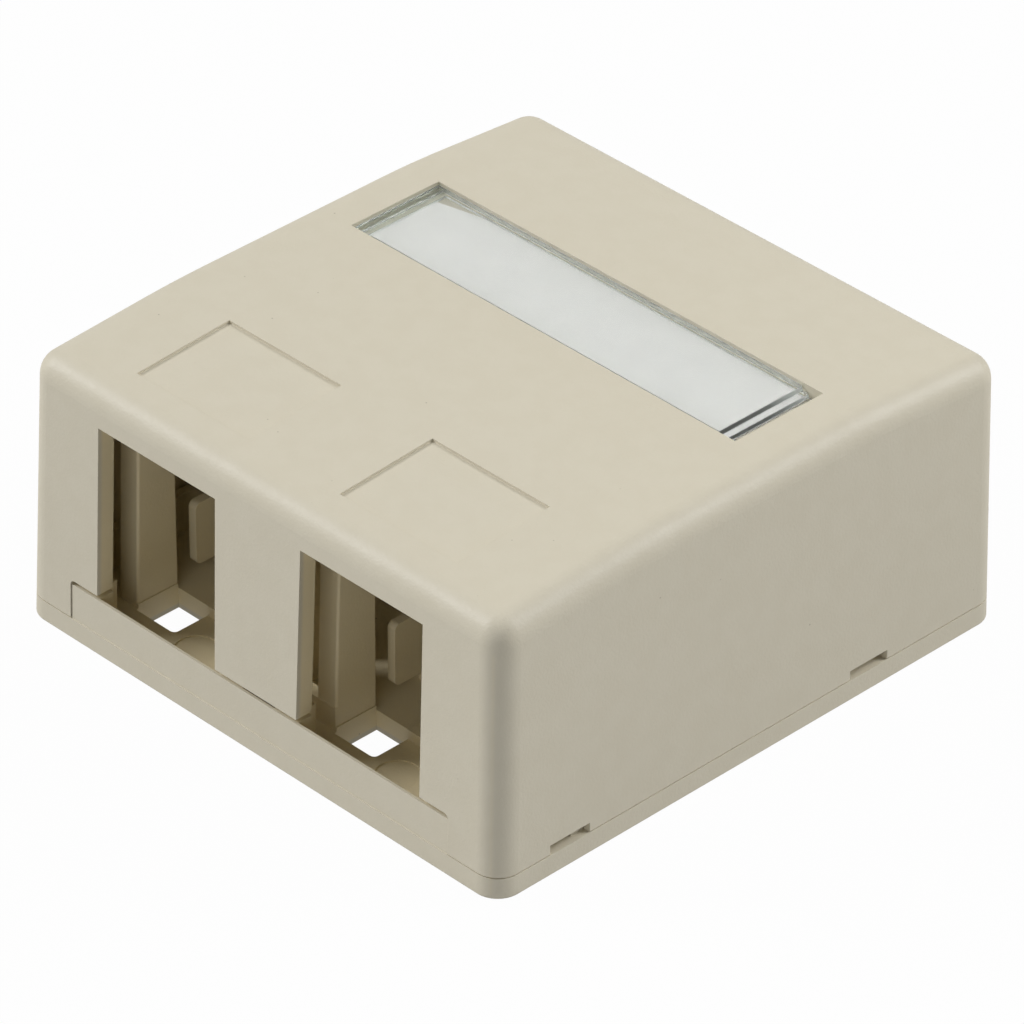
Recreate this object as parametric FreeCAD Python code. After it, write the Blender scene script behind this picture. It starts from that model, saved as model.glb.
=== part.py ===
import FreeCAD, Part
import math
import os

os.makedirs("parts", exist_ok=True)
V = FreeCAD.Vector

# Two-port surface mount jack box: base, cover, clear label window and paper label card.
# Millimetres. Origin at the middle of the underside, +X to the right seen from the ports,
# +Y from the ports to the back, +Z up. Places marked "back" are measured from the front edge.

# Outer form
width = 59.2
depth = 60.7
height = 27.8
edge_r = 2.4
least_corner_r = 0.4
front_lean = 2.0
side_draft = 1.5
rear_draft = 0.4
seam_z = 2.1
underside_round = 0.25
foot_bevel = 0.12

# Crown of the roof: it falls towards the front and towards the rear from a flat middle
front_fall = 0.061
rear_fall = 0.075
front_break_back = 17.0
rear_break_back = 45.2
break_blend = 3.5

# Cover
cover_wall = 1.8
roof = 1.8
port_pitch = 25.18
port_width = 14.7
port_top_z = 23.2
port_draft = 0.56
sill_notch_width = 47.15
sill_notch_z = 6.1
sill_corner_r = 0.5
pry_notch_width = 4.6
pry_notch_height = 1.0
pry_notch_front_back = 6.2
pry_notch_rear_back = 42.05

# Icon recesses in the roof, one over each port
icon_width = 14.0
icon_length = 10.6
icon_back = 5.0
icon_depth = 0.25

# Label recess, window and card
label_width = 46.9
label_length = 10.55
label_back = 33.45
label_depth = 1.45
label_well_wall = 1.2
label_well_floor = 1.0
window_fit = 0.1
window_sink = 0.25
window_end_tab = 2.2
window_tab_step = 0.45
window_tab_length = 0.75
window_flange = 0.35
window_rim = 0.35
card_thickness = 0.2
card_play = 0.1
card_margin = 0.1
card_front_play = 0.4
card_end = 1.5

# Base
rim_clearance = 0.15
rim_wall = 0.9
rim_top_z = 6.1
lip_side_play = 0.1
lip_top_z = 5.6
lip_wall = 1.6
lip_edge = 0.3
lip_chamfer_height = 1.9
lip_setback = 0.1
lip_block_start = 7.6
lip_block_length = 3.0
rim_gap_width = 16.3

# Jack seats in the base
post_pitch = 15.96
post_wall = 2.25
post_length = 4.65
post_back = 5.25
post_top_z = 21.0
post_foot_ledge = 0.1
post_foot_height = 0.45
post_edge_r = 0.25
seat_rib_height = 1.0
seat_rib_wall = 1.0
latch_hole_width = 4.9
latch_hole_length = 4.9
latch_hole_back = 5.0
latch_hole_r = 0.5
pin_mark_r = 2.05
pin_mark_back = 4.85
pin_mark_depth = 0.12
web_height = 2.4
web_wall = 1.2
guide_wall = 0.9
guide_back = 12.1
guide_length = 5.4
guide_foot_z = 3.4
guide_top_z = 9.75
guide_leg = 1.8
guide_round = 0.6

# Fixing to the wall and cable entry
screw_spacing = 40.0
screw_back = 30.0
screw_hole_r = 2.1
screw_pad_r = 4.4
screw_pad_rise = 0.8
cable_hole_width = 24.0
cable_hole_length = 11.0
cable_hole_back = 40.0
cable_hole_r = 2.5

# Catch beads on the base's rim that hold the cover, and the stops beside the pry notches
bead_length = 8.0
bead_proud = 0.1
bead_radius = 0.5
bead_z = 4.7
bead_back = 25.0
stop_length = 1.4
stop_height = 0.7
stop_reach = 1.2

port_centres = [-port_pitch / 2, port_pitch / 2]
front_tan = math.tan(math.radians(front_lean))
side_tan = math.tan(math.radians(side_draft))
rear_tan = math.tan(math.radians(rear_draft))
overcut = 5.0
tiny = 1e-6
least_rise = 0.9


def back(distance):
    """The Y of a place that lies this far behind the front edge."""
    return distance - depth / 2


def front_y(z, inset=0.0):
    return -depth / 2 + inset + front_tan * z


def rear_y(z, inset=0.0):
    return depth / 2 - inset - rear_tan * z


def side_x(z, inset=0.0):
    return width / 2 - inset - side_tan * z


def box(x0, x1, y0, y1, z0, z1):
    return Part.makeBox(x1 - x0, y1 - y0, z1 - z0, V(x0, y0, z0))


def prism(points, push):
    """A closed outline of straight sides, pushed along a vector."""
    return Part.Face(Part.makePolygon(points + points[:1])).extrude(push)


def rounded_rectangle(x0, x1, y0, y1, z, radius):
    """A wire of four sides and four quarter rounds at height z."""
    edges = []
    k = radius * (1 - math.sqrt(0.5))
    corners = [
        (V(x1 - radius, y0, z), V(x1 - k, y0 + k, z), V(x1, y0 + radius, z)),
        (V(x1, y1 - radius, z), V(x1 - k, y1 - k, z), V(x1 - radius, y1, z)),
        (V(x0 + radius, y1, z), V(x0 + k, y1 - k, z), V(x0, y1 - radius, z)),
        (V(x0, y0 + radius, z), V(x0 + k, y0 + k, z), V(x0 + radius, y0, z)),
    ]
    for i, (start, middle, end) in enumerate(corners):
        edges.append(Part.Arc(start, middle, end).toShape())
        edges.append(Part.LineSegment(end, corners[(i + 1) % 4][0]).toShape())
    return Part.Wire(edges)


def rounded_plate(x0, x1, y0, y1, z0, z1, radius):
    wire = rounded_rectangle(x0, x1, y0, y1, z0, radius)
    return Part.Face(wire).extrude(V(0, 0, z1 - z0))


def leaning_block(inset, z0, z1):
    """A plain block whose sides lean as the box's walls do, pulled in by the inset."""
    rings = []
    for z in (z0, z1):
        x, y0, y1 = side_x(z, inset), front_y(z, inset), rear_y(z, inset)
        rings.append([V(-x, y0, z), V(x, y0, z), V(x, y1, z), V(-x, y1, z)])
    low, high = rings
    outlines = [low[::-1], high] + [[low[i - 1], low[i], high[i], high[i - 1]] for i in range(4)]
    faces = [Part.Face(Part.makePolygon(points + points[:1])) for points in outlines]
    return Part.Solid(Part.Shell(faces))


def upright_edges(solid):
    return [e for e in solid.Edges if e.BoundBox.ZLength > max(e.BoundBox.XLength, e.BoundBox.YLength)]


def corner_radius(inset):
    """The corner's radius at this inset, so that the wall keeps its thickness round the corner."""
    return max(edge_r - inset, least_corner_r)


def rounded_block(inset, z0, z1):
    block = leaning_block(inset, z0, z1)
    return block.makeFillet(corner_radius(inset), upright_edges(block))


def rounded_break(y, z, slope_before, slope_after):
    """The arc that eases one slope of the crown into the next, and its two ends."""
    before = V(0, 1, slope_before).normalize()
    after = V(0, 1, slope_after).normalize()
    half = before.getAngle(after) / 2
    start = V(0, y, z) - before * break_blend
    end = V(0, y, z) + after * break_blend
    rise = break_blend / math.tan(half) * (1 / math.cos(half) - 1)
    inward = (after - before).normalize()
    return Part.Arc(start, V(0, y, z) + inward * rise, end).toShape(), start, end


def above_crown(drop=0.0):
    """Everything above the roof's surface, or above a surface this far under it."""
    top = height - drop
    front_break, a0, a1 = rounded_break(back(front_break_back), top, front_fall, 0.0)
    rear_break, b0, b1 = rounded_break(back(rear_break_back), top, 0.0, -rear_fall)
    y0 = -depth / 2 - overcut
    y1 = depth / 2 + overcut
    front_end = V(0, y0, a0.z - (a0.y - y0) * front_fall)
    rear_end = V(0, y1, b1.z - (y1 - b1.y) * rear_fall)
    lid = height + 2 * overcut
    outline = [
        Part.LineSegment(front_end, a0).toShape(), front_break,
        Part.LineSegment(a1, b0).toShape(), rear_break,
        Part.LineSegment(b1, rear_end).toShape(),
        Part.LineSegment(rear_end, V(0, y1, lid)).toShape(),
        Part.LineSegment(V(0, y1, lid), V(0, y0, lid)).toShape(),
        Part.LineSegment(V(0, y0, lid), front_end).toShape(),
    ]
    region = Part.Face(Part.Wire(outline)).extrude(V(width + 2 * overcut, 0, 0))
    region.translate(V(-width / 2 - overcut, 0, 0))
    return region


def crown_edges(solid):
    """The edges all round the roof, where its faces meet the walls."""
    roofs = [f for f in solid.Faces if f.normalAt(*middle_of(f)).z > least_rise]
    rim = []
    for face in roofs:
        for edge in face.Edges:
            shared = sum(1 for other in roofs for e in other.Edges if e.isSame(edge))
            if shared == 1:
                rim.append(edge)
    return rim


def middle_of(face):
    u0, u1, v0, v1 = face.ParameterRange
    return (u0 + u1) / 2, (v0 + v1) / 2


def crowned_form(inset, drop, z0):
    """The leaning form with its crowned roof, its corners and roof edge rounded alike."""
    form = leaning_block(inset, z0, height + overcut).cut(above_crown(drop))
    return form.makeFillet(corner_radius(inset), upright_edges(form) + crown_edges(form))


def port_cut(centre):
    """The opening of one port, a little wider towards its foot."""
    spread = math.tan(math.radians(port_draft)) * (port_top_z - seam_z)
    half = port_width / 2
    y0 = -depth / 2 - overcut
    points = [
        V(centre - half, y0, port_top_z), V(centre + half, y0, port_top_z),
        V(centre + half + spread, y0, seam_z), V(centre - half - spread, y0, seam_z),
    ]
    return prism(points, V(0, front_y(port_top_z, 2 * cover_wall) - y0, 0))


def sill_notch_cut():
    """The wide notch along the foot of the front wall that the base's lip fills."""
    half = sill_notch_width / 2
    y0 = -depth / 2 - overcut
    y1 = front_y(sill_notch_z, 2 * cover_wall)
    notch = box(-half, half, y0, y1, seam_z - overcut, sill_notch_z)
    tops = [e for e in notch.Edges if e.BoundBox.ZMin > sill_notch_z - tiny and e.BoundBox.XLength < tiny]
    return notch.makeFillet(sill_corner_r, tops)


def pry_notch_cuts():
    """Shallow notches in the foot of both side walls."""
    cuts = []
    for start in (pry_notch_front_back, pry_notch_rear_back):
        for side in (-1, 1):
            x0, x1 = sorted((side * (width / 2 - 2 * cover_wall), side * (width / 2 + overcut)))
            y0 = back(start)
            cuts.append(box(x0, x1, y0, y0 + pry_notch_width, seam_z - overcut, seam_z + pry_notch_height))
    return cuts


def icon_cuts():
    below = above_crown(icon_depth)
    cuts = []
    for centre in port_centres:
        y0 = back(icon_back)
        x0 = centre - icon_width / 2
        area = box(x0, x0 + icon_width, y0, y0 + icon_length, height - overcut, height + overcut)
        cuts.append(area.common(below))
    return cuts


label_y0 = back(label_back)
label_y1 = label_y0 + label_length
label_floor_z = height - label_depth


def label_well():
    """The thicker patch under the roof that holds the label recess."""
    edge = label_well_wall
    half = label_width / 2 + edge
    return box(-half, half, label_y0 - edge, label_y1 + edge, label_floor_z - label_well_floor, height - roof)


def label_cut():
    half = label_width / 2
    return box(-half, half, label_y0, label_y1, label_floor_z, height + overcut)


def make_cover():
    outer = crowned_form(0.0, 0.0, seam_z)
    outer = outer.makeChamfer(foot_bevel, [e for e in outer.Edges if e.BoundBox.ZMax < seam_z + tiny])
    inner = crowned_form(cover_wall, roof, seam_z - overcut)
    cover = outer.cut(inner).fuse(label_well())
    cuts = [label_cut(), sill_notch_cut()] + pry_notch_cuts() + icon_cuts()
    cuts += [port_cut(centre) for centre in port_centres]
    return cover.cut(cuts)


def make_window():
    """The clear window: full height to its left end, stepped down twice at its right end."""
    x_end = label_width / 2 - window_fit
    x_body = label_width / 2 - window_end_tab
    y0 = label_y0 + window_fit
    y1 = label_y1 - window_fit
    top = height - window_sink
    window = box(-x_end, x_body, y0, y1, label_floor_z, top)
    x_tab = x_body + window_tab_length
    window = window.fuse(box(x_body, x_tab, y0, y1, label_floor_z, top - window_tab_step))
    window = window.fuse(box(x_body, x_end, y0, y1, label_floor_z, label_floor_z + window_flange))
    half = label_width / 2 - card_end + card_margin
    pocket = box(-half, half, y0 + window_rim, y1 - window_rim,
                 label_floor_z, label_floor_z + card_thickness + card_play)
    return window.cut(pocket)


def make_card():
    """The paper card, which lies towards the rear of the window's pocket."""
    half = label_width / 2 - card_end
    edge = window_fit + window_rim + card_margin
    y0 = label_y0 + edge + card_front_play
    return box(-half, half, y0, label_y1 - edge, label_floor_z, label_floor_z + card_thickness)


def make_lip():
    """The front lip: flush with the cover's face and thinned from inside towards its top."""
    half = sill_notch_width / 2 - lip_side_play
    y_foot = front_y(seam_z, lip_setback)
    y_top = front_y(lip_top_z, lip_setback)
    y_in = front_y(seam_z, lip_wall)
    z_bend = lip_top_z - lip_chamfer_height
    points = [
        V(-half, y_foot, seam_z), V(-half, y_top, lip_top_z), V(-half, y_top + lip_edge, lip_top_z),
        V(-half, y_in, z_bend), V(-half, y_in, seam_z),
    ]
    return prism(points, V(2 * half, 0, 0))


def make_lip_blocks():
    """Short blocks that join the lip to the rim, one on each side of each port."""
    blocks = []
    inset = cover_wall + rim_clearance
    for centre in port_centres:
        for side in (-1, 1):
            x = centre + side * lip_block_start
            points = [
                V(x, front_y(seam_z, lip_setback), seam_z), V(x, front_y(lip_top_z, lip_setback), lip_top_z),
                V(x, front_y(lip_top_z, inset), lip_top_z), V(x, front_y(seam_z, inset), seam_z),
            ]
            blocks.append(prism(points, V(side * lip_block_length, 0, 0)))
    return blocks


def make_rim():
    """The upright rim inside the cover's walls, left open in front of each port."""
    outside = cover_wall + rim_clearance
    rim = rounded_block(outside, seam_z, rim_top_z)
    rim = rim.cut(rounded_block(outside + rim_wall, seam_z - overcut, rim_top_z + overcut))
    gaps = []
    for centre in port_centres:
        x0 = centre - rim_gap_width / 2
        gaps.append(box(x0, x0 + rim_gap_width, -depth / 2, back(post_back), seam_z, rim_top_z + overcut))
    return rim.cut(gaps)


def make_beads():
    """Low half-round beads on both sides of the rim, which press against the cover's walls."""
    beads = []
    y0 = back(bead_back)
    for side in (-1, 1):
        x = side * (side_x(bead_z, cover_wall + rim_clearance) + bead_proud - bead_radius)
        beads.append(Part.makeCylinder(bead_radius, bead_length, V(x, y0, bead_z), V(0, 1, 0)))
    return beads


def make_stops():
    """Small blocks on the base's edge, inside the cover's front pry notches."""
    stops = []
    y1 = back(pry_notch_front_back) + pry_notch_width - lip_side_play
    for side in (-1, 1):
        x_in = side * side_x(seam_z, cover_wall + rim_clearance)
        x_out = x_in + side * stop_reach
        points = [
            V(x_in, y1, seam_z), V(x_in, y1 - stop_length, seam_z), V(x_out, y1 - stop_length, seam_z),
            V(x_out, y1, seam_z),
        ]
        stops.append(prism(points, V(0, 0, stop_height)))
    return stops


def make_post(x0, side):
    """A jack post: its front face leans as the front wall does, its rear face is upright."""
    y0 = back(post_back)
    y1 = y0 + post_length
    rise = post_top_z - seam_z
    points = [
        V(x0, y0, seam_z), V(x0, y1, seam_z), V(x0, y1, post_top_z), V(x0, y0 + rise * front_tan, post_top_z),
    ]
    post = prism(points, V(post_wall, 0, 0))
    inner = [e for e in upright_edges(post) if side * (e.BoundBox.XMax - x0 - post_wall / 2) < 0]
    return post.makeFillet(post_edge_r, [e for e in inner if e.BoundBox.YMax < y1 - tiny])


def make_guide(centre, side):
    """A tongue beside one jack, level with its post, which stands on a leg at its rear end."""
    x = centre + side * post_pitch / 2
    x0, x1 = sorted((x, x + side * guide_wall))
    y0 = back(guide_back)
    y1 = y0 + guide_length
    tongue = box(x0, x1, y0, y1, guide_foot_z, guide_top_z)
    ends = [e for e in tongue.Edges if e.BoundBox.YMax < y0 + tiny and e.BoundBox.ZLength < tiny]
    tongue = tongue.makeFillet(guide_round, ends)
    return tongue.fuse(box(x0, x1, y1 - guide_leg, y1, seam_z, guide_top_z))


def make_seat(centre):
    """What one jack stands on and between: two posts on their feet, a low rib and two tongues."""
    half = post_pitch / 2
    y0 = back(post_back)
    y1 = back(latch_hole_back) + latch_hole_length
    x0 = centre - half + latch_hole_width
    pieces = [box(x0, centre + half, y1 - seat_rib_wall, y1, seam_z, seam_z + seat_rib_height)]
    for side in (-1, 1):
        face = centre + side * half
        x0 = min(face, face + side * post_wall)
        pieces.append(make_post(x0 + side * post_foot_ledge, side))
        pieces.append(box(x0, x0 + post_wall, y0, y0 + post_length, seam_z, seam_z + post_foot_height))
        pieces.append(make_guide(centre, side))
    return pieces


def latch_hole_cut(centre):
    """The square latch hole beside the left post, rounded at its front right corner."""
    x0 = centre - post_pitch / 2
    x1 = x0 + latch_hole_width
    y0 = back(latch_hole_back)
    hole = box(x0, x1, y0, y0 + latch_hole_length, -overcut, seam_z + overcut)
    near = [e for e in upright_edges(hole) if e.BoundBox.XMin > x1 - tiny and e.BoundBox.YMax < y0 + tiny]
    return hole.makeFillet(latch_hole_r, near)


def make_base():
    floor = rounded_block(0.0, 0.0, seam_z)
    floor = floor.makeFillet(underside_round, [e for e in floor.Edges if e.BoundBox.ZMax < tiny])
    pieces = [make_lip(), make_rim()] + make_lip_blocks() + make_beads() + make_stops()
    for centre in port_centres:
        pieces += make_seat(centre)
    half_gap = port_pitch / 2 - post_pitch / 2 - post_foot_ledge
    y_web = back(post_back)
    pieces.append(box(-half_gap, half_gap, y_web, y_web + web_wall, seam_z, seam_z + web_height))
    cuts = []
    for side in (-1, 1):
        x = side * screw_spacing / 2
        y = back(screw_back)
        pieces.append(Part.makeCylinder(screw_pad_r, screw_pad_rise, V(x, y, seam_z)))
        cuts.append(Part.makeCylinder(screw_hole_r, screw_pad_rise + 2 * overcut, V(x, y, -overcut)))
    for centre in port_centres:
        cuts.append(latch_hole_cut(centre))
        mark = V(centre, back(pin_mark_back), seam_z - pin_mark_depth)
        cuts.append(Part.makeCylinder(pin_mark_r, overcut, mark))
    half = cable_hole_width / 2
    y0 = back(cable_hole_back)
    y1 = y0 + cable_hole_length
    cuts.append(rounded_plate(-half, half, y0, y1, -overcut, seam_z + overcut, cable_hole_r))
    return floor.fuse(pieces).cut(cuts).removeSplitter()


parts = {
    "base": make_base(),
    "cover": make_cover(),
    "label_window": make_window(),
    "label_card": make_card(),
}

for name, shape in parts.items():
    print(name, shape.isValid(), len(shape.Solids), round(shape.Volume, 1))
    shape.exportStep("parts/" + name + ".step")
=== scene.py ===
"""Dresses a two-port surface mount jack box and sets it up for a product photograph."""

from math import cos, radians, sin

import bmesh
import bpy
from bpy.props import FloatProperty, FloatVectorProperty, PointerProperty
from mathutils import Matrix, Vector


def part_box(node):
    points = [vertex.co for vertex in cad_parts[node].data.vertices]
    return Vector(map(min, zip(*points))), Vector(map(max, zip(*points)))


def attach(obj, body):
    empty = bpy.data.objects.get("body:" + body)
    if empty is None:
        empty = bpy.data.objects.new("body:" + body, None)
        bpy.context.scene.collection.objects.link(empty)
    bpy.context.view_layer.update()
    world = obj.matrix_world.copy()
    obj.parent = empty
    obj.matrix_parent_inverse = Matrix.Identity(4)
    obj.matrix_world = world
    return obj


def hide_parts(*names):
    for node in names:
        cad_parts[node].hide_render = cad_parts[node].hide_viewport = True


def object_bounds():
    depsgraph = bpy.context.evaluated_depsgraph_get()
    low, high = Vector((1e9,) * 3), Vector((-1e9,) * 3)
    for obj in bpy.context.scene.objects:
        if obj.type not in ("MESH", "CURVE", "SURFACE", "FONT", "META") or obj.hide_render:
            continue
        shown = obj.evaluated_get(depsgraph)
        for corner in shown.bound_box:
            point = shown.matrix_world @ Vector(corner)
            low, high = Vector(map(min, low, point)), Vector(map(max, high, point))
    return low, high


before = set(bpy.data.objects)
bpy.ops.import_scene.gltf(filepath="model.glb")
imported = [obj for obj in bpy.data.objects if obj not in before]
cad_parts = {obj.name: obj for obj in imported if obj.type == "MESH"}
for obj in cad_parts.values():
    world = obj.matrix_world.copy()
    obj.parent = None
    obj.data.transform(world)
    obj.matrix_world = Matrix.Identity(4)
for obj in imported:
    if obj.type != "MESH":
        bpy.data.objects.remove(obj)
cad_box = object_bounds()
window_low, window_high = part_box("label_window")
card_low, card_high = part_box("label_card")

bl_info = {
    "name": "Surface Mount Jack Box",
    "version": (1, 0, 0),
    "blender": (4, 5, 0),
    "location": "3D View > Sidebar > Jack Box",
    "description": "Moulded finish, clear label window, paper card and studio for a two-port jack box",
    "category": "Object",
}

FRONT_LEAN = 0.0349  # how far the front wall leans back for each metre up
SIDE_DRAFT = 0.0262  # how far each side wall leans in for each metre up

# Depths in metres under each outer face of the box where the painted inner glow and shade begin and
# where they are full
PAINTED_GLOW_DEPTHS = {
    "front": (0.0002, 0.0006),
    "rear": (0.0012, 0.0016),
    "sides": (0.0009, 0.0014),
    "underside": (0.0003, 0.0006),
    "roof": (0.0036, 0.0042),
}

# Each lamp's name, the setting that holds its power, its width and its place, in metres
LAMPS = (
    ("top_lamp", "top_power", 0.9, (0.0, 0.05, 1.1)),
    ("left_lamp", "left_power", 1.2, (-2.086, -1.355, 1.678)),
    ("front_lamp", "front_power", 0.9, (0.562, -1.261, 0.586)),
    ("right_lamp", "right_power", 0.45, (0.487, 0.647, 0.588)),
)

# Metres from the window's left and rear ends to where its painted edge shade is full and where it has
# gone
LEFT_EDGE = (0.0008, 0.0014)
REAR_EDGE = (0.0003, 0.0005)

CARD_MARGIN = (0.001, 0.002)  # metres inside the box's outline where the dark card fades out
PATCHES = (0.35, 0.65)  # the values of a noise between which one colour gives way to the other
SPECK_CORE = 0.3  # share of a speck's radius that is fully dark
LEVEL = (0.92, 0.99)  # upright part of a normal over which clear plastic goes from matt to polished
DOWNWARD = -0.9  # upright part of a normal below which a face counts as facing down
TINY = 1e-6  # a length in metres that counts as none
SHARP_EDGE = 0.8  # the angle in radians between two faces from which their edge is rounded


def length(name, description, default):
    """A property that holds a length in metres."""
    return FloatProperty(
        name=name, description=description, default=default, min=0.0, precision=5, unit="LENGTH"
    )


def power(name, description, default):
    """A property that holds a lamp's power in watts."""
    return FloatProperty(name=name, description=description, default=default, min=0.0, unit="POWER")


def share(name, description, default):
    """A property that holds a share from 0 to 1."""
    return FloatProperty(
        name=name, description=description, default=default, min=0.0, max=1.0, subtype="FACTOR"
    )


def colour(name, description, default):
    """A property that holds a linear colour."""
    return FloatVectorProperty(
        name=name, description=description, default=default, min=0.0, max=1.0, subtype="COLOR"
    )


class Value:
    """One output of a node, which can be used in plain arithmetic."""

    def __init__(self, graph, socket):
        self.graph = graph
        self.socket = socket

    def output(self, name):
        """Another output of the same node."""
        return Value(self.graph, self.socket.node.outputs[name])

    def maths(self, operation, *others):
        sockets = dict(enumerate((self, *others)))
        return self.graph.add("ShaderNodeMath", {"operation": operation}, sockets)

    def __add__(self, other):
        return self.maths("ADD", other)

    def __sub__(self, other):
        return self.maths("SUBTRACT", other)

    def __mul__(self, other):
        return self.maths("MULTIPLY", other)


class Graph:
    """The nodes of one material or of the world."""

    def __init__(self, tree):
        self.tree = tree
        self.tree.nodes.clear()

    def add(self, kind, settings=None, sockets=None, output=0):
        """Any node: its settings are made first, then the values and links of its sockets."""
        node = self.tree.nodes.new(kind)
        for key, value in (settings or {}).items():
            setattr(node, key, value)
        for key, value in (sockets or {}).items():
            if isinstance(value, Value):
                self.tree.links.new(value.socket, node.inputs[key])
            else:
                node.inputs[key].default_value = value
        return Value(self, node.outputs[output]) if len(node.outputs) else None

    def mix(self, factor, first, second):
        """A colour between two others."""
        return self.add("ShaderNodeMix", {"data_type": "RGBA"}, {0: factor, 6: first, 7: second}, 2)

    def blend(self, factor, first, second):
        """A shader between two others."""
        return self.add("ShaderNodeMixShader", None, {0: factor, 1: first, 2: second})

    def place(self):
        return self.add("ShaderNodeTexCoord", output="Object")

    def noise(self, place, size, detail=2.0, roughness=0.5):
        """Noise from 0 to 1 whose lumps have this size in metres."""
        sockets = {"Vector": place, "Scale": 1 / size, "Detail": detail, "Roughness": roughness}
        return self.add("ShaderNodeTexNoise", None, sockets)

    def span(self, value, low, high, to_low=0.0, to_high=1.0):
        """Maps low to high onto another span, clamped and eased at both ends."""
        sockets = {0: value, 1: low, 2: high, 3: to_low, 4: to_high}
        return self.add("ShaderNodeMapRange", {"interpolation_type": "SMOOTHSTEP"}, sockets)

    def bump(self, height, depth, edge_round=0.0):
        """A normal from a height of 0 to 1 that stands this deep, on edges rounded to a radius."""
        sockets = {"Height": height, "Distance": depth}
        if edge_round:
            sockets["Normal"] = self.add("ShaderNodeBevel", {"samples": 6}, {"Radius": edge_round})
        return self.add("ShaderNodeBump", None, sockets)

    def axes(self, place):
        """The three coordinates of a place."""
        parts = self.add("ShaderNodeSeparateXYZ", None, {0: place}, "X")
        return parts, parts.output("Y"), parts.output("Z")

    def finish(self, surface, kind="ShaderNodeOutputMaterial", **others):
        """Joins the shaders to the output node."""
        self.add(kind, None, {"Surface": surface, **others})


def new_material(name):
    """A material with an empty graph."""
    material = bpy.data.materials.new(name)
    material.use_nodes = True
    return material, Graph(material.node_tree)


def opaque(tint):
    return (*tint, 1.0)


def seen_and_mirrored(graph):
    """1 for the rays that come from the camera, and 1 for those that a gloss or clear plastic turns."""
    path = graph.add("ShaderNodeLightPath", output="Is Camera Ray")
    return path, path.output("Is Glossy Ray").maths("MAXIMUM", path.output("Is Transmission Ray"))


class JackBoxPlastic(bpy.types.PropertyGroup):
    """The ivory moulding plastic of the cover and the base."""

    tint: colour("Colour", "Colour of the plastic", (0.65, 0.603, 0.483))
    shade: colour("Mottle", "Colour of the slightly darker patches", (0.64, 0.592, 0.471))
    # Painted light and shade: a warmer, brighter colour inside the box that stands in for light coming
    # through the plastic and for the warm tone of the shade in there.
    inner_painted_glow: colour(
        "Inside", "Colour inside the box, where light comes through the plastic", (0.76, 0.662, 0.44)
    )
    speck_tint: colour("Specks", "Colour of the dust specks", (0.33, 0.29, 0.21))
    speck_spacing: length("Speck spacing", "Spacing of the dust specks", 0.0032)
    speck_radius: length("Speck radius", "Radius of the largest dust specks", 0.00011)
    speck_strength: share("Speck strength", "How far a speck's colour covers the plastic's", 0.75)
    mottle_size: length("Mottle size", "Size of the patches of uneven colour", 0.0025)
    roughness: share("Roughness", "Roughness of the moulded surface", 0.5)
    grain_roughness: share("Grain roughness", "How much the roughness follows the grain", 0.16)
    mottle_roughness: share("Mottle roughness", "How much the roughness follows the mottle", 0.06)
    grain_size: length("Grain size", "Size of the grain that the mould leaves", 0.00028)
    grain_depth: length("Grain depth", "Depth of the mould's grain", 0.000025)
    wave_size: length("Wave size", "Size of the slow waves in the walls", 0.009)
    wave_depth: length("Wave depth", "Depth of the slow waves in the walls", 0.000012)
    edge_round: length("Edge round", "Radius that every moulded edge has", 0.00005)


class JackBoxWindow(bpy.types.PropertyGroup):
    """The clear plastic window over the label."""

    end_tab: length("End tab", "Length of the stepped tab at the right end", 0.0021)
    step: length("Step", "Drop from the window's top to its tab", 0.00045)
    step_length: length("Step length", "Length of the tab's step", 0.00075)
    flange: length("Flange", "Thickness of the low flange at the right end", 0.00035)
    hook: length("Hook", "Length and height of the rebate under the left end", 0.0006)
    rim: length("Rim", "Width of the solid rim in front of the card and behind it", 0.00035)
    pocket_end: length("Pocket end", "Distance from each end to the card's pocket", 0.0013)
    pocket: length("Pocket", "Depth of the card's pocket", 0.0003)
    lift: length("Lift", "Air under the window's rim", 0.00003)
    corner_round: length("Corner round", "Rounding of the tab's upright corners", 0.0003)
    edge_round: length("Edge round", "Rounding of the window's edges", 0.00006)
    roughness: share("Roughness", "Roughness of the clear plastic", 0.02)
    side_roughness: share("Side roughness", "Added roughness of the window's sides", 0.5)
    # Painted shade: a dimmer grey-green colour on the window's left and rear edges, standing in for how
    # light bends and dims in those edges.
    edge_painted_shade: colour("Painted edge shade", "Colour of the window's left and rear edges", (0.8, 0.835, 0.8))
    rear_share: share("Rear edge", "Share of the edge colour that the rear edge takes", 0.4)
    haze_roughness: share("Haze", "Added roughness in the hazy patches", 0.03)
    haze_size: length("Haze size", "Size of the hazy patches in the polish", 0.002)
    ripple_size: length("Ripple size", "Size of the ripples in the window's faces", 0.004)
    ripple_depth: length("Ripple depth", "Depth of those ripples", 0.0000005)
    depth_tint: colour(
        "Depth colour", "Colour that long paths through the plastic take", (0.76, 0.86, 0.82)
    )
    depth_density: FloatProperty(
        name="Density", description="How fast the plastic takes its colour, per metre",
        default=140.0, min=0.0,
    )


class JackBoxCard(bpy.types.PropertyGroup):
    """The paper card under the window."""

    tint: colour("Colour", "Colour of the paper", (0.87, 0.855, 0.825))
    fibre_size: length("Fibre size", "Size of the paper's fibres", 0.00035)
    roughness: share("Roughness", "Roughness of the paper", 0.75)
    fibre_roughness: share("Fibre roughness", "Added roughness of the fibres", 0.1)
    cloud_size: length("Cloud size", "Size of the paper's cloudy patches", 0.003)
    worn: share("Worn", "Brightness of the darker patches beside that of the paper", 0.965)
    fibre_depth: length("Fibre depth", "Depth of the paper's fibres", 0.000004)
    trim_length: length("Trim length", "Length cut off the card's rear left corner", 0.0048)
    trim_width: length("Trim width", "Width cut off the card's rear left corner", 0.0011)


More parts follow.
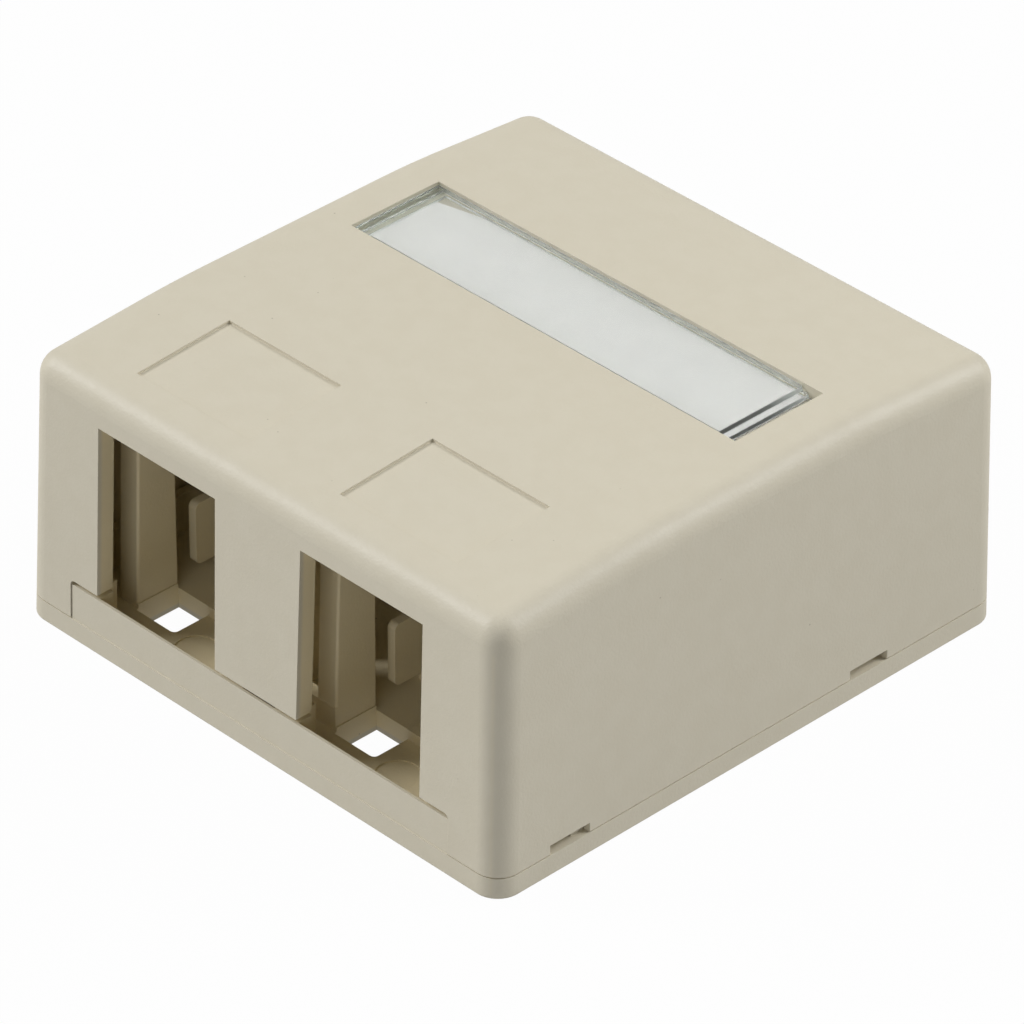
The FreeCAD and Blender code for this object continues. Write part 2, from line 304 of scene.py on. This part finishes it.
class JackBoxStudio(bpy.types.PropertyGroup):
    """The floor, the lamps and the camera."""

    azimuth: FloatProperty(
        name="Azimuth", description="Camera's turn to the right of the ports",
        default=radians(45.702), subtype="ANGLE", unit="ROTATION",
    )
    elevation: FloatProperty(
        name="Elevation", description="Camera's height above the horizon",
        default=radians(34.287), subtype="ANGLE", unit="ROTATION",
    )
    roll: FloatProperty(
        name="Roll", description="Camera's turn about its own line of sight",
        default=radians(-0.332), subtype="ANGLE", unit="ROTATION",
    )
    distance: length("Distance", "Distance from the camera to the middle of the underside", 0.637707)
    lens: FloatProperty(
        name="Lens", description="Focal length on a sensor 36 mm wide", default=257.18, unit="CAMERA"
    )
    side_shift: FloatProperty(
        name="Side shift", description="Place of the origin to the right of the middle of the view",
        default=-0.000054, precision=6, unit="LENGTH",
    )
    down_shift: FloatProperty(
        name="Down shift", description="Place of the origin below the middle of the view",
        default=0.008724, precision=6, unit="LENGTH",
    )
    sky: share("Sky", "Light from all round", 0.0)
    top_power: power("Top lamp", "Power of the large lamp overhead", 1.95)
    left_power: power("Left lamp", "Power of the lamp to the front left", 66.0)
    front_power: power("Front lamp", "Power of the weak lamp before the ports", 3.6)
    right_power: power("Right lamp", "Power of the lamp to the rear right", 6.9)
    room: share("Room", "Brightness of the room in the clear plastic and in the gloss", 0.67)
    floor_tint: colour("Table", "Colour of the table's surface", (0.35, 0.35, 0.35))
    floor_light: share("Table light", "Light that comes up through the table", 0.3)
    floor_glow: share("Table white", "Share of the table that is plain white to the camera", 0.97)
    floor_size: length("Table size", "Width of the table", 8.0)
    card_start: length(
        "Card start", "Distance from the box's front to the card that lies under its rear", 0.014
    )


def moulded_plastic(look):
    """Ivory plastic with the mould's fine grain, faint mottling, a few dust specks and a painted warm
    glow and shade inside the box.
    """
    material, graph = new_material("moulded_plastic")
    place = graph.place()
    cloud = graph.noise(place, look.mottle_size, detail=4.0)
    grain = graph.noise(place, look.grain_size, detail=2.0, roughness=0.6)
    wave = graph.noise(place, look.wave_size, detail=1.0)
    spots = graph.add(
        "ShaderNodeTexVoronoi", None, {"Vector": place, "Scale": 1 / look.speck_spacing}, "Distance"
    )
    reach = look.speck_radius / look.speck_spacing
    speck = graph.span(spots, SPECK_CORE * reach, reach, look.speck_strength, 0.0)
    tint = graph.mix(graph.span(cloud, *PATCHES), opaque(look.tint), opaque(look.shade))
    # Painted light and shade: surfaces inside the box take a warmer colour that stands in for light
    # through the plastic and for the shade there.
    tint = graph.mix(painted_glow_mask(graph, place), tint, opaque(look.inner_painted_glow))
    tint = graph.mix(speck, tint, opaque(look.speck_tint))
    uneven = (grain - 0.5) * look.grain_roughness + (cloud - 0.5) * look.mottle_roughness
    waves = graph.bump(wave, look.wave_depth, look.edge_round)
    grained = {"Height": grain, "Distance": look.grain_depth, "Normal": waves}
    normal = graph.add("ShaderNodeBump", None, grained)
    graph.finish(
        graph.add(
            "ShaderNodeBsdfPrincipled", None,
            {"Base Color": tint, "Roughness": uneven + look.roughness, "IOR": 1.5, "Normal": normal},
        )
    )
    return material


def painted_glow_mask(graph, place):
    """Mask of the painted glow and shade inside: 1 on surfaces inside the walls and behind the front, 0
    on the outside of the box.
    """
    low, high = cad_box
    x, y, z = graph.axes(place)
    depths = {
        "front": y - z * FRONT_LEAN - low.y,
        "rear": y * -1.0 + high.y,
        "sides": (x.maths("ABSOLUTE") + z * SIDE_DRAFT) * -1.0 + high.x,
        "underside": z,
        "roof": z * -1.0 + high.z,
    }
    inside = graph.span(depths["front"], *PAINTED_GLOW_DEPTHS["front"])
    for face in ("rear", "sides", "underside", "roof"):
        inside = inside * graph.span(depths[face], *PAINTED_GLOW_DEPTHS[face])
    return inside


def clear_plastic(look):
    """Clear, faintly cool plastic with a slight haze in its polish, matt sides and painted grey-green
    shade along its left and rear edges.
    """
    material, graph = new_material("clear_plastic")
    place = graph.place()
    haze = graph.noise(place, look.haze_size, detail=3.0)
    ripple = graph.noise(place, look.ripple_size, detail=1.0)
    x, y, _ = graph.axes(place)
    # Painted shade: the window's colour dims towards the edge colour near its left and rear ends.
    full, gone = LEFT_EDGE
    left_edge_shade = graph.span(x, window_low.x + full, window_low.x + gone, 1.0, 0.0)
    full, gone = REAR_EDGE
    rear_edge_shade = graph.span(y, window_high.y - gone, window_high.y - full, 0.0, look.rear_share)
    edge = left_edge_shade.maths("MAXIMUM", rear_edge_shade)
    _, _, rise = graph.axes(graph.add("ShaderNodeNewGeometry", output="True Normal"))
    side = graph.span(rise.maths("ABSOLUTE"), *LEVEL, 1.0, 0.0)
    graph.finish(
        graph.add(
            "ShaderNodeBsdfPrincipled", None,
            {
                "Base Color": graph.mix(edge, opaque((1, 1, 1)), opaque(look.edge_painted_shade)),
                "Roughness": haze * look.haze_roughness + side * look.side_roughness + look.roughness,
                "IOR": 1.49,
                "Transmission Weight": 1.0,
                "Normal": graph.bump(ripple, look.ripple_depth),
            },
        ),
        Volume=graph.add(
            "ShaderNodeVolumeAbsorption", None,
            {"Color": opaque(look.depth_tint), "Density": look.depth_density},
        ),
    )
    return material


def paper(look):
    """Smooth white label paper."""
    material, graph = new_material("label_paper")
    place = graph.place()
    fibre = graph.noise(place, look.fibre_size, detail=4.0, roughness=0.65)
    cloud = graph.noise(place, look.cloud_size, detail=2.0)
    worn = tuple(look.worn * c for c in look.tint)
    patches = graph.span(cloud * 0.5 + fibre * 0.5, *PATCHES)
    tint = graph.mix(patches, opaque(look.tint), opaque(worn))
    graph.finish(
        graph.add(
            "ShaderNodeBsdfPrincipled", None,
            {
                "Base Color": tint,
                "Roughness": fibre * look.fibre_roughness + look.roughness,
                "IOR": 1.4,
                "Normal": graph.bump(fibre, look.fibre_depth),
            },
        )
    )
    return material


def add_piece(bm, name, material):
    """A finished mesh as an object at the origin."""
    mesh = bpy.data.meshes.new(name)
    bm.to_mesh(mesh)
    bm.free()
    mesh.materials.append(material)
    piece = bpy.data.objects.new(name, mesh)
    bpy.context.scene.collection.objects.link(piece)
    return piece


def whole(bm):
    return bm.verts[:] + bm.edges[:] + bm.faces[:]


class JACKBOX_OT_mouldings(bpy.types.Operator):
    """Give the cover and the base their moulded plastic"""

    bl_idname = "jackbox.mouldings"
    bl_label = "Mouldings"

    def execute(self, context):
        plastic = moulded_plastic(context.scene.jackbox_plastic)
        for name in ("base", "cover"):
            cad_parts[name].data.materials[0] = plastic
        return {"FINISHED"}


class JACKBOX_OT_window(bpy.types.Operator):
    """Model the clear window with its stepped right end, its hooked left end and the card's pocket"""

    bl_idname = "jackbox.window"
    bl_label = "Label window"

    def execute(self, context):
        look = context.scene.jackbox_window
        left, right = window_low.x, window_high.x
        x_body = right - look.end_tab
        x_step = x_body + look.step_length
        top, under = window_high.z, window_low.z + look.lift
        outline = [
            (left, under + look.hook), (left + look.hook, under + look.hook), (left + look.hook, under),
            (right, under), (right, under + look.flange), (x_step, under + look.flange),
            (x_step, top - look.step), (x_body, top - look.step), (x_body, top), (left, top),
        ]
        bm = bmesh.new()
        end_face = bm.faces.new([bm.verts.new((x, window_low.y, z)) for x, z in outline])
        pushed = bmesh.ops.extrude_face_region(bm, geom=[end_face])["geom"]
        depth = Vector((0, window_high.y - window_low.y, 0))
        far_corners = [v for v in pushed if isinstance(v, bmesh.types.BMVert)]
        bmesh.ops.translate(bm, vec=depth, verts=far_corners)
        bmesh.ops.recalc_face_normals(bm, faces=bm.faces)
        self.sink_pocket(bm, look, under)
        upright = [e for e in bm.edges if self.is_upright(e) and e.verts[0].co.x > x_body - look.rim]
        self.soften(bm, upright, look.corner_round, 4)
        sharp = [e for e in bm.edges if e.calc_face_angle(0.0) > SHARP_EDGE]
        self.soften(bm, sharp, look.edge_round, 2)
        window = add_piece(bm, "clear_window", clear_plastic(look))
        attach(window, "window")
        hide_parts("label_window")
        return {"FINISHED"}

    def is_upright(self, edge):
        """True for an edge at a corner of the window's own outline that runs straight up."""
        first, second = (v.co for v in edge.verts)
        at_side = min(abs(first.y - window_low.y), abs(first.y - window_high.y)) < TINY
        return at_side and (first - second).xy.length < TINY

    def soften(self, bm, edges, radius, segments):
        bmesh.ops.bevel(
            bm, geom=edges, offset=radius, segments=segments, affect="EDGES", profile=0.5, material=-1,
            clamp_overlap=True,
        )

    def facing_down(self, bm):
        return [f for f in bm.faces if f.normal.z < DOWNWARD]

    def sink_pocket(self, bm, look, under):
        """Raises the middle of the underside, which leaves a rim all round."""
        x0, x1 = window_low.x + look.pocket_end, window_high.x - look.pocket_end
        y0, y1 = window_low.y + look.rim, window_high.y - look.rim
        for point, normal in (
            ((x0, 0, 0), (1, 0, 0)), ((x1, 0, 0), (1, 0, 0)),
            ((0, y0, 0), (0, 1, 0)), ((0, y1, 0), (0, 1, 0)),
        ):
            underside = [f for f in self.facing_down(bm) if f.calc_center_median().z < under + TINY]
            geom = {g for f in underside for g in (f, *f.edges, *f.verts)}
            bmesh.ops.bisect_plane(bm, geom=list(geom), plane_co=point, plane_no=normal)
        middle = [
            f for f in self.facing_down(bm)
            if x0 < f.calc_center_median().x < x1 and y0 < f.calc_center_median().y < y1
        ]
        raised = bmesh.ops.extrude_discrete_faces(bm, faces=middle)["faces"]
        bmesh.ops.translate(bm, vec=(0, 0, look.pocket), verts=[v for f in raised for v in f.verts])


class JACKBOX_OT_card(bpy.types.Operator):
    """Model the paper card, whose rear left corner is cut short"""

    bl_idname = "jackbox.card"
    bl_label = "Label card"

    def execute(self, context):
        look = context.scene.jackbox_card
        size = card_high - card_low
        middle = (card_low + card_high) / 2
        bm = bmesh.new()
        bmesh.ops.create_grid(bm, x_segments=48, y_segments=12, size=0.5)
        bmesh.ops.scale(bm, vec=(size.x, size.y, 1), verts=bm.verts)
        bmesh.ops.translate(bm, vec=(middle.x, middle.y, card_high.z), verts=bm.verts)
        corner = Vector((card_low.x, card_high.y - look.trim_width, 0))
        away = Vector((-look.trim_width, look.trim_length, 0))
        bmesh.ops.bisect_plane(bm, geom=whole(bm), plane_co=corner, plane_no=away, clear_outer=True)
        bmesh.ops.solidify(bm, geom=bm.faces[:], thickness=size.z)
        bmesh.ops.recalc_face_normals(bm, faces=bm.faces)
        card = add_piece(bm, "paper_card", paper(look))
        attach(card, "cover")
        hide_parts("label_card")
        return {"FINISHED"}


class JACKBOX_OT_studio(bpy.types.Operator):
    """Set up the white floor, the soft light and the camera"""

    bl_idname = "jackbox.studio"
    bl_label = "Studio"

    def execute(self, context):
        look = context.scene.jackbox_studio
        self.lay_floor(look)
        self.light(context.scene, look)
        self.aim_camera(context.scene, look)
        context.scene.view_settings.view_transform = "Standard"
        return {"FINISHED"}

    def lay_floor(self, look):
        material, graph = new_material("studio_floor")
        matte = graph.add("ShaderNodeBsdfDiffuse", None, {"Color": opaque(look.floor_tint)})
        light, white = (
            graph.add("ShaderNodeEmission", None, {"Color": opaque((1, 1, 1)), "Strength": strength})
            for strength in (look.floor_light, 1.0)
        )
        seen, _ = seen_and_mirrored(graph)
        table = graph.add("ShaderNodeAddShader", None, {0: matte, 1: light})
        table = graph.blend(self.under_rear(graph, look), table, matte)
        graph.finish(graph.blend(seen * look.floor_glow, table, white))
        bm = bmesh.new()
        bmesh.ops.create_grid(bm, x_segments=1, y_segments=1, size=look.floor_size / 2)
        add_piece(bm, "studio_floor", material)

    def under_rear(self, graph, look):
        """1 on the card under the box's rear, which keeps the table's light out of the cable entry."""
        low, high = cad_box
        x, y, _ = graph.axes(graph.place())
        near, far = CARD_MARGIN
        beside = graph.span(x.maths("ABSOLUTE"), high.x - far, high.x - near, 1.0, 0.0)
        behind = graph.span(y, low.y + look.card_start, low.y + look.card_start + near)
        before = graph.span(y, high.y - far, high.y - near, 1.0, 0.0)
        return beside * behind * before

    def light(self, scene, look):
        world = bpy.data.worlds.new("studio")
        world.use_nodes = True
        scene.world = world
        graph = Graph(world.node_tree)
        sky, room, white = (
            graph.add("ShaderNodeBackground", None, {"Color": opaque((1, 1, 1)), "Strength": strength})
            for strength in (look.sky, look.room, 1.0)
        )
        seen, mirrored = seen_and_mirrored(graph)
        unseen = graph.blend(mirrored, sky, room)
        graph.finish(graph.blend(seen, unseen, white), "ShaderNodeOutputWorld")
        for name, setting, size, place in LAMPS:
            self.hang_lamp(scene, name, getattr(look, setting), size, place)

    def hang_lamp(self, scene, name, watts, size, place):
        """A square soft lamp that faces the box."""
        lamp = bpy.data.lights.new(name, "AREA")
        lamp.energy, lamp.size = watts, size
        fitting = bpy.data.objects.new(name, lamp)
        fitting.location = place
        fitting.rotation_euler = Vector(place).to_track_quat("Z", "Y").to_euler()
        fitting.visible_camera = False
        scene.collection.objects.link(fitting)

    def aim_camera(self, scene, look):
        data = bpy.data.cameras.new("photo_camera")
        data.sensor_width, data.lens = 36.0, look.lens
        data.clip_start, data.clip_end = 0.05, 20.0
        camera = bpy.data.objects.new("photo_camera", data)
        a, e, roll = look.azimuth, look.elevation, look.roll
        forward = -Vector((sin(a) * cos(e), -cos(a) * cos(e), sin(e)))
        level = forward.cross(Vector((0, 0, 1))).normalized()
        plumb = forward.cross(level)
        right = cos(roll) * level + sin(roll) * plumb
        down = cos(roll) * plumb - sin(roll) * level
        turn = Matrix((right, -down, -forward)).transposed().to_4x4()
        place = -(right * look.side_shift + down * look.down_shift + forward * look.distance)
        camera.matrix_world = Matrix.Translation(place) @ turn
        scene.collection.objects.link(camera)
        scene.camera = camera


class JACKBOX_PT_panel(bpy.types.Panel):
    """The jack box's settings in the sidebar"""

    bl_idname = "JACKBOX_PT_panel"
    bl_label = "Jack Box"
    bl_space_type = "VIEW_3D"
    bl_region_type = "UI"
    bl_category = "Jack Box"

    def draw(self, context):
        for operator, group, settings in STEPS:
            box = self.layout.box()
            box.operator(operator.bl_idname)
            looks = getattr(context.scene, settings)
            for name in group.__annotations__:
                box.prop(looks, name)


STEPS = (
    (JACKBOX_OT_mouldings, JackBoxPlastic, "jackbox_plastic"),
    (JACKBOX_OT_window, JackBoxWindow, "jackbox_window"),
    (JACKBOX_OT_card, JackBoxCard, "jackbox_card"),
    (JACKBOX_OT_studio, JackBoxStudio, "jackbox_studio"),
)


def register():
    for operator, group, settings in STEPS:
        bpy.utils.register_class(group)
        setattr(bpy.types.Scene, settings, PointerProperty(type=group))
        bpy.utils.register_class(operator)
    bpy.utils.register_class(JACKBOX_PT_panel)


def unregister():
    bpy.utils.unregister_class(JACKBOX_PT_panel)
    for operator, group, settings in reversed(STEPS):
        bpy.utils.unregister_class(operator)
        delattr(bpy.types.Scene, settings)
        bpy.utils.unregister_class(group)


def main():
    """Registers the add-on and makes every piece."""
    register()
    for operator, _, _ in STEPS:
        group, name = operator.bl_idname.split(".")
        getattr(getattr(bpy.ops, group), name)()


if __name__ == "__main__":
    main()
